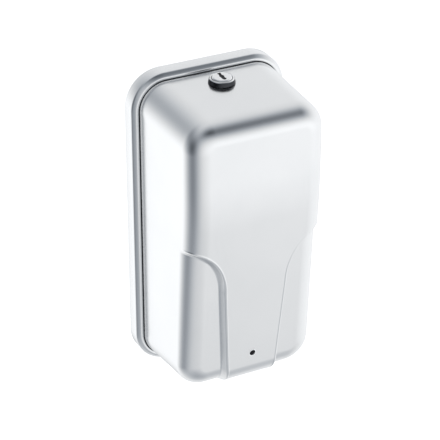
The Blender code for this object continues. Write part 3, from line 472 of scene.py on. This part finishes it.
def cover_mesh():
    zs = spread(-95, 97, 3.2, 0.3, (-1.5,), (21.0,))
    xs = spread(-35, 35, 3.2, 0.3, (-27.0, 15.0), (-15.0, 27.0))
    phis = [0, 5, 10, 15, 20, 26, 32, 38, 44, 50, 56, 62, 68, 74, 79, 84, 87, 90]
    NC = 18
    V, F = [], []
    rings = []
    for phi in phis:
        d = EDGE_R * (1 - math.cos(math.radians(phi)))
        drop = EDGE_R * (1 - math.sin(math.radians(phi)))
        ring = rrect(F_HW - d, F_TOP - d, F_BOT + d, F_R - d, NC, zs, xs)
        P = np.array(ring)
        y = shape(P[:, 0], P[:, 1], drop)
        rings.append(list(range(len(V), len(V) + len(ring))))
        V += [(p[0], yy, p[1]) for p, yy in zip(ring, y)]
    n = len(rings[0])
    for a, b in zip(rings, rings[1:]):
        for i in range(n):
            j = (i + 1) % n
            F.append((a[j], a[i], b[i], b[j]))
    # flat middle: strips along the step line, a grid elsewhere
    inner = [Vector((V[i][0], V[i][2])) for i in rings[-1]]
    hw, zt, zb = F_HW - EDGE_R, F_TOP - EDGE_R, F_BOT + EDGE_R
    pts, edges = list(inner), [(i, (i + 1) % n) for i in range(n)]
    for sgn in (1, -1):
        for off in OFFSETS:
            run = []
            for x, z, nx, nz in LINE:
                px, pz = x + off * nx, z + off * nz
                if px < hw - 0.25 and pz > zb + 0.25:
                    run.append(Vector((sgn * px, pz)))
            base = len(pts)
            pts += run
            edges += [(base + i, base + i + 1) for i in range(len(run) - 1)]
    gx, gz = np.meshgrid(np.arange(-hw + 2.2, hw - 1.5, 3.05), np.arange(zb + 2.2, zt - 1.5, 3.2))
    gx, gz = gx.ravel(), gz.ravel()
    keep = np.abs(line_dist(gx, gz)) > 6.0
    cr = F_R - EDGE_R
    zc, hz = (zt + zb) / 2, (zt - zb) / 2
    qx, qz = np.abs(gx) - (hw - cr), np.abs(gz - zc) - (hz - cr)
    keep &= cr - (np.hypot(np.maximum(qx, 0), np.maximum(qz, 0)) + np.minimum(np.maximum(qx, qz), 0)) > 1.2
    pts += [Vector((x, z)) for x, z in zip(gx[keep], gz[keep])]
    v2, e2, f2, ov, *_ = delaunay_2d_cdt(pts, edges, [list(range(n))], 1, 1e-6, True)
    P = np.array([(p[0], p[1]) for p in v2])
    y = shape(P[:, 0], P[:, 1], 0.0)
    ids = []
    for i, (p, yy) in enumerate(zip(P, y)):
        src = [o for o in ov[i] if o < n]
        if src:
            ids.append(rings[-1][src[0]])
        else:
            ids.append(len(V))
            V.append((p[0], yy, p[1]))
    for f in f2:
        F.append(tuple(ids[i] for i in f))
    # side wall back to the rear edge
    rear = rrect(R_HW, R_HH, -R_HH, R_R, NC, zs, xs)
    outer = rrect(F_HW, F_TOP, F_BOT, F_R, NC, zs, xs)
    k = (PAN_D - REAR_Y) / (DEPTH - EDGE_R - PAN_D)
    prev = rings[0]
    for t in (0.03, 0.08, 0.16, 0.3, 0.45, 0.6, 0.75, 0.88, 0.96, 1.0):
        row = []
        for i in range(n):
            a = Vector(V[rings[0][i]])
            (x, z), (xo, zo) = rear[i], outer[i]
            b = Vector((x + (x - xo) * k, -REAR_Y, z + (z - zo) * k))
            row.append(len(V))
            V.append(tuple(a.lerp(b, t)))
        for i in range(n):
            j = (i + 1) % n
            F.append((prev[i], prev[j], row[j], row[i]))
        prev = row
    return np.array(V), F, prev


def shell(V, F, rim, t, soften):
    """Close an open skin into a sheet t thick, on the inner side; soften smooths the inner side where it is true."""
    bm = bmesh.new()
    vs = [bm.verts.new(v) for v in V]
    fs = [bm.faces.new([vs[i] for i in f]) for f in F]
    bmesh.ops.recalc_face_normals(bm, faces=bm.faces)
    bm.normal_update()
    # outward means away from the cover's middle
    c = Vector((0, -50, 0))
    score = sum((f.calc_center_median() - c).dot(f.normal) for f in fs)
    if score < 0:
        bmesh.ops.reverse_faces(bm, faces=bm.faces)
        bm.normal_update()
    N = np.array([v.normal[:] for v in vs])
    inner = V - N * t
    bm.verts.index_update()
    nb = [[e.other_vert(v).index for e in v.link_edges] for v in vs]
    idx = np.where(soften)[0]
    for _ in range(12):
        new = inner.copy()
        for i in idx:
            new[i] = 0.5 * inner[i] + 0.5 * inner[nb[i]].mean(0)
        inner = new
    ws = [bm.verts.new(v) for v in inner]
    for f in fs:
        bm.faces.new([ws[v.index] for v in reversed(f.verts)])
    m = len(rim)
    for i in range(m):
        a, b = rim[i], rim[(i + 1) % m]
        bm.faces.new((vs[a], vs[b], ws[b], ws[a]))
    bmesh.ops.recalc_face_normals(bm, faces=bm.faces)
    return bm


V, F, rim = cover_mesh()
soft = (np.abs(line_dist(V[:, 0], V[:, 2])) < 3.2) & (V[:, 1] < -60)
cover = new_object("cover_shell", shell(V, F, rim, COV_T, soft), M_COVER, smooth=True)
Z_TOP = F_TOP + (R_HH - F_TOP) * (DEPTH - EDGE_R + LOCK_Y) / (DEPTH - EDGE_R - PAN_D)
tools = [new_object("t1", bm_cyl("Z", (0, LOCK_Y, 118), 9.6, 20, 64), M_ZINC),
         new_object("t2", bm_cyl("Y", (0, -90, LED_Z), LED_R + 0.45, 18, 48), M_ZINC),
         new_object("t3", bm_box(-OPEN_X, OPEN_X, OPEN_Y0, OPEN_Y1, -125, -110), M_ZINC)]
for s in (-1, 1):
    tools.append(new_object("t4", bm_box(*sorted((s * 32, s * 38)), -27, -10, -125, -112), M_ZINC))
for tl in tools:
    cut(cover, tl)
apply_modifiers(cover, 42.0)
done_with(tools)


def analytic_normals(ob):
    """Exact surface normals on the front, so the satin reflections run smoothly across the triangles."""
    me = ob.data
    me.update()
    n_l = len(me.loops)
    co = np.zeros(len(me.vertices) * 3, np.float32)
    me.vertices.foreach_get("co", co)
    co = co.reshape(-1, 3).astype(float) * 1000
    x, y, z = co.T
    zc, hz = (F_TOP + F_BOT) / 2, (F_TOP - F_BOT) / 2
    qx, qz = np.abs(x) - (F_HW - F_R), np.abs(z - zc) - (hz - F_R)
    d = F_R - (np.hypot(np.maximum(qx, 0), np.maximum(qz, 0)) + np.minimum(np.maximum(qx, qz), 0.0))
    gx = np.where((qx > 0) & (qz > 0), np.maximum(qx, 0), np.where(qx > qz, 1.0, 0.0))
    gz = np.where((qx > 0) & (qz > 0), np.maximum(qz, 0), np.where(qx > qz, 0.0, 1.0))
    ln = np.hypot(gx, gz)
    gx, gz = gx / ln * np.sign(x + 1e-9), gz / ln * np.sign(z - zc)
    c = np.clip((EDGE_R - d) / EDGE_R, 0, 1)
    sn = np.sqrt(1 - c * c)
    drop = EDGE_R * (1 - sn)
    y_fit = shape(x, z, drop)
    on = (np.abs(y - y_fit) < 0.03) & (d > 0.25)
    h = 0.02
    kk = lambda a, b: (lean(b) + STEP * ramp(line_dist(a, b))) / (DEPTH - PAN_D)
    kx, kz = (kk(x + h, z) - kk(x - h, z)) / (2 * h), (kk(x, z + h) - kk(x, z - h)) / (2 * h)
    k0 = kk(x, z)
    yu = -(DEPTH - drop)
    a, b, cc = -(yu + PAN_D) * kx, 1 - k0, -(yu + PAN_D) * kz
    N = np.stack([gx * c, -sn, gz * c], 1)
    N = np.stack([N[:, 0] - a / b * N[:, 1], N[:, 1] / b, N[:, 2] - cc / b * N[:, 1]], 1)
    N /= np.linalg.norm(N, axis=1)[:, None]
    vi = np.zeros(n_l, np.int32)
    me.loops.foreach_get("vertex_index", vi)
    fn = np.zeros((n_l, 3))
    for p in me.polygons:
        fn[p.loop_start:p.loop_start + p.loop_total] = p.normal
    cn = np.zeros(n_l * 3, np.float32)
    me.corner_normals.foreach_get("vector", cn)
    cn = cn.reshape(-1, 3)
    use = on[vi] & ((N[vi] * fn).sum(1) > 0.75)
    out = np.where(use[:, None], N[vi], cn)
    me.normals_split_custom_set([tuple(v) for v in out])


analytic_normals(cover)
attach(cover, "cover")
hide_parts("cover")

# ------------------------------------------------------------------ back pan
def arc2(c, r, a0, a1, n):
    return [(c[0] + r * math.cos(math.radians(a0 + (a1 - a0) * i / n)), c[1] + r * math.sin(math.radians(a0 + (a1 - a0) * i / n)))
            for i in range(n + 1)]


def pan_mesh():
    zs = spread(-95, 96, 6.0, 6.0, (), ())
    xs = spread(-34, 35, 6.0, 6.0, (), ())
    # (inset, depth) profile: wall face, rolled rim, flat lip and its turned-in edge, then back along the inside
    prof = [(3.0, 0.0), (1.0, 0.0)] + [(1.0 - math.sin(math.radians(a)), 1.0 - math.cos(math.radians(a))) for a in (22, 45, 68, 90)]
    prof += [(0.0, PAN_D - 6.5), (0.0, PAN_D - 3.6), (0.05, PAN_D - 3.1), (0.2, PAN_D - 2.7), (0.5, PAN_D - 2.3)]
    prof += [(1.1, PAN_D - 1.75), (1.8, PAN_D - 1.15), (2.6, PAN_D - 0.5), (3.1, PAN_D - 0.18), (3.5, PAN_D - 0.03), (3.9, PAN_D)]
    prof += [(4.6, PAN_D - 0.02), (5.0, PAN_D - 0.08), (5.18, PAN_D - 0.28), (LIP - 0.04, PAN_D - 1.2)]
    prof += [(LIP - 0.1, PAN_D - 2.9), (LIP - 0.6, PAN_D - 3.1), (4.3, PAN_D - 1.7), (3.6, PAN_D - 1.3), (2.4, PAN_D - 2.0), (1.5, PAN_D - 3.2), (PAN_T, PAN_D - 4.4)]
    prof += [(PAN_T, 2.2), (1.5, 1.5), (2.2, PAN_T), (5.0, PAN_T)]
    bm = bmesh.new()
    rows = [[bm.verts.new((x, -y, z)) for x, z in rrect(PAN_W / 2 - i, PAN_H / 2 - i, -PAN_H / 2 + i, PAN_R - i, 24, zs, xs)] for i, y in prof]
    n = len(rows[0])
    for a, b in zip(rows, rows[1:]):
        for i in range(n):
            j = (i + 1) % n
            bm.faces.new((a[i], a[j], b[j], b[i]))
    bm.faces.new(rows[0])
    bm.faces.new(rows[-1])
    bmesh.ops.recalc_face_normals(bm, faces=bm.faces)
    return bm


pan = new_object("back_pan_shell", pan_mesh(), M_PAN)
tools = []
for x, z in ((-40, 104), (40, 104), (-40, -100), (40, -100)):
    tools.append(new_object("t", bm_cyl("Y", (x, -1, z), 2.75, 8, 32), M_ZINC))
for x, z in ((-40, 70), (40, 70), (-40, -78), (40, -8)):
    tools.append(new_object("t", bm_cyl("Y", (x, -1, z), 1.9, 8, 24), M_ZINC))
for tl in tools:
    cut(pan, tl)
apply_modifiers(pan, 42.0)
done_with(tools)
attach(pan, "back")
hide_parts("back_pan")

# ------------------------------------------------------------------ lock
TILT = math.atan2(R_HH - F_TOP, DEPTH - EDGE_R - PAN_D)
ZL = Z_TOP + 0.35
LOCK_M = Matrix.Translation(Vector((0, mm(LOCK_Y), mm(ZL)))) @ Matrix.Rotation(TILT, 4, "X")


def local(m):
    """World matrix of a piece whose mesh is in metres about the lock's axis."""
    return m


body_prof = rounded([(8.25, 3.65), (8.7, 3.9), (9.2, 3.75), (9.65, 3.25), (9.95, 2.5), (10.35, 0.95), (10.5, 0.5), (10.5, 0.02), (9.2, 0.0),
                     (9.2, -13.4), (5.0, -13.4), (5.0, -1.0), (8.25, -1.0)], 0.22, 4)
M_SMOKE.node_tree.nodes["Principled BSDF"].inputs["Specular IOR Level"].default_value = 0.12
lock_body = new_object("lock_bezel", bm_lathe(body_prof, 128), M_CHROME, world=LOCK_M, angle=30)
# the bezel's side wall gets the near-black chrome copy, which is painted shade and not a separate finish
lock_body.data.materials.append(M_BEZEL_SIDE_SHADE)
for p in lock_body.data.polygons:
    c = p.center * 1000
    if math.hypot(c.x, c.y) > 9.4 and c.z < 3.4:
        p.material_index = 1
plug_prof = rounded([(0, 4.85), (6.7, 4.85), (7.4, 4.6), (7.9, 3.9), (7.95, -0.5), (4.6, -0.5), (4.6, -14.5), (0, -14.5)], 0.2, 4)
lock_plug = new_object("lock_core", bm_lathe(plug_prof, 128), M_CHROME, world=LOCK_M, angle=30)
KEY_A = math.radians(-58)
kp = [(-4.9, 0.95), (-4.3, 1.7), (-3.3, 1.75), (-2.2, 1.15), (-1.2, 0.85), (0.6, 0.75), (1.7, 0.25), (2.6, -0.2), (4.6, -0.45), (4.95, -1.1), (4.6, -1.75),
      (2.7, -1.75), (1.6, -1.35), (0.4, -1.05), (-1.2, -0.75), (-2.2, -0.1), (-3.2, 0.35), (-4.6, 0.4)]
kp = [(x * 1.05, y * 2.3) for x, y in kp]
bm = bmesh.new()
ring = [bm.verts.new((x * math.cos(KEY_A) - y * math.sin(KEY_A), x * math.sin(KEY_A) + y * math.cos(KEY_A), 1.5)) for x, y in kp]
f = bm.faces.new(ring)
ex = bmesh.ops.extrude_face_region(bm, geom=[f])
bmesh.ops.translate(bm, verts=[g for g in ex["geom"] if isinstance(g, bmesh.types.BMVert)], vec=(0, 0, 8))
bmesh.ops.recalc_face_normals(bm, faces=bm.faces)
key_tool = new_object("t", bm, M_BLACK, world=LOCK_M)
cut(lock_plug, key_tool)
apply_modifiers(lock_plug, 30)
done_with([key_tool])
for ob, body, node in ((lock_body, "cover", "lock_body"), (lock_plug, "lock", "lock_plug")):
    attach(ob, body)
    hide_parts(node)
# black block a little below the face: painted shade for the depth of the keyway
bm = bmesh.new()
ring = [bm.verts.new((x * 1.03 * math.cos(KEY_A) - y * 1.1 * math.sin(KEY_A), x * 1.03 * math.sin(KEY_A) + y * 1.1 * math.cos(KEY_A), 1.55)) for x, y in kp]
f = bm.faces.new(ring)
ex = bmesh.ops.extrude_face_region(bm, geom=[f])
bmesh.ops.translate(bm, verts=[g for g in ex["geom"] if isinstance(g, bmesh.types.BMVert)], vec=(0, 0, 2.2))
bmesh.ops.recalc_face_normals(bm, faces=bm.faces)
keyway_shade_block = new_object("lock_keyway_painted_shade", bm, M_BLACK, world=LOCK_M, smooth=False)
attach(keyway_shade_block, "lock")

# ------------------------------------------------------------------ indicator
LEAN_A = math.atan(SLOPE)
LED_FY = -(DEPTH - float(lean(LED_Z)))
LED_M = Matrix.Translation(Vector((0, mm(LED_FY), mm(LED_Z)))) @ Matrix.Rotation(math.radians(90) + LEAN_A, 4, "X")
win_prof = [(0, 0.30), (0.9, 0.27), (1.6, 0.18), (2.1, 0.02), (LED_R - 0.08, -0.25), (LED_R - 0.02, -0.5), (LED_R - 0.02, -2.55), (0, -2.55)]
led_window = new_object("indicator_window", bm_lathe(win_prof, 64), M_SMOKE, world=LED_M, angle=50)
gr = [(LED_R + 0.05, -2.4), (LED_R + 0.05, 0.10), (LED_R + 0.12, 0.22), (LED_R + 0.28, 0.26), (LED_R + 0.46, 0.20), (LED_R + 0.62, 0.05),
      (LED_R + 0.3, 0.03), (LED_R + 0.3, -1.3), (LED_R + 1.15, -1.3), (LED_R + 1.15, -2.4)]
led_ring = new_object("indicator_ring", bm_lathe(gr, 64), M_RING, world=LED_M, angle=40)
for ob, node, sl in ((led_window, "led_window", "smoked_window"), (led_ring, "led_grommet", "lock_chrome")):
    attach(ob, "cover")
    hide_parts(node)

# ------------------------------------------------------------------ carried-over CAD nodes: smooth shading, edges sharper than 32 degrees split
for name, ob in NODES.items():
    if ob.hide_render:
        continue
    ob.data.shade_smooth()
    es = ob.modifiers.new("edges", "EDGE_SPLIT")
    es.split_angle = math.radians(32)

# ------------------------------------------------------------------ stage and light
bm = bmesh.new()
bmesh.ops.create_grid(bm, x_segments=1, y_segments=1, size=1.0)
bmesh.ops.scale(bm, verts=bm.verts, vec=(12000, 12000, 1))
bmesh.ops.translate(bm, verts=bm.verts, vec=(0, 0, -520))
M_FLOOR = bpy.data.materials.new("floor")
M_FLOOR.use_nodes = True
t = Tree(M_FLOOR.node_tree)
b = t.new("ShaderNodeBsdfPrincipled")
o = t.new("ShaderNodeOutputMaterial")
t.link(b.outputs[0], o.inputs["Surface"])
b.inputs["Base Color"].default_value = (0.9, 0.9, 0.9, 1)
b.inputs["Roughness"].default_value = 0.9
b.inputs["Emission Color"].default_value = (1, 1, 1, 1)
b.inputs["Emission Strength"].default_value = 0.75
floor = new_object("floor", bm, M_FLOOR, smooth=False)
floor.visible_glossy = False

world = bpy.data.worlds.new("studio")
bpy.context.scene.world = world
world.use_nodes = True
w = Tree(world.node_tree)
tc = w.new("ShaderNodeTexCoord")
dvec = tc.outputs["Generated"]


def lobe(az, el, sharp, amount):
    """A soft patch of light (or of shade, if amount is negative) in one direction of the studio, in degrees."""
    A, E = math.radians(az), math.radians(el)
    n = w.new("ShaderNodeVectorMath", operation="DOT_PRODUCT")
    w.link(dvec, n.inputs[0])
    n.inputs[1].default_value = (math.sin(A) * math.cos(E), -math.cos(A) * math.cos(E), math.sin(E))
    x = w.math("MULTIPLY_ADD", n.outputs["Value"], sharp, -sharp)
    return w.math("MULTIPLY", w.math("EXPONENT", x), amount)


# soft studio: an even pale room, three softboxes and dark flags that draw the metal's edges
STUDIO = [(-75, 15, 4, -0.75),    # tall flag at the left, upper part
          (-75, -30, 4.5, -0.60), # and its lower part
          (40, 48, 5, -0.80),     # flag above the front
          (-20, 58, 8, -0.55),    # and its left end
          (-135, 30, 5, -0.65),   # flag behind, left
          (165, -30, 10, -0.50),  # flag behind, low
          (150, 40, 3, -0.20),    # dimmer wall behind
          (20, -65, 6, -0.65),    # the floor in front falls off
          (35, -15, 5, 0.20),     # softbox, front right
          (-150, -20, 6, 0.30)]   # softbox, behind left
level = 1.15
for az, el, sharp, amount in STUDIO:
    level = w.math("ADD", lobe(az, el, sharp, amount), level)
level = w.math("MAXIMUM", level, 0.02)
bg = w.new("ShaderNodeBackground")
w.link(w.mix(w.remap(level, 0.15, 0.85, 0.0, 1.0), (0.90, 0.99, 1.11), (0.985, 1.0, 1.015)), bg.inputs["Color"])
w.link(level, bg.inputs["Strength"])
bg2 = w.new("ShaderNodeBackground")
bg2.inputs["Color"].default_value = (1, 1, 1, 1)
bg2.inputs["Strength"].default_value = 1.0
lp = w.new("ShaderNodeLightPath")
mx = w.new("ShaderNodeMixShader")
w.link(lp.outputs["Is Camera Ray"], mx.inputs[0])
w.link(bg.outputs[0], mx.inputs[1])
w.link(bg2.outputs[0], mx.inputs[2])
wo = w.new("ShaderNodeOutputWorld")
w.link(mx.outputs[0], wo.inputs["Surface"])

key = bpy.data.lights.new("softbox", "AREA")
key.shape = "RECTANGLE"
key.size, key.size_y = 1.6, 1.2
key.energy = 9.0
ko = bpy.data.objects.new("softbox", key)
bpy.context.scene.collection.objects.link(ko)
ko.location = (0.9, -1.6, 1.5)
ko.rotation_mode = "QUATERNION"
ko.rotation_quaternion = (Vector(ko.location)).to_track_quat("Z", "Y")
ko.visible_glossy = False

scene = bpy.context.scene
scene.view_settings.view_transform = "Standard"
scene.view_settings.look = "None"
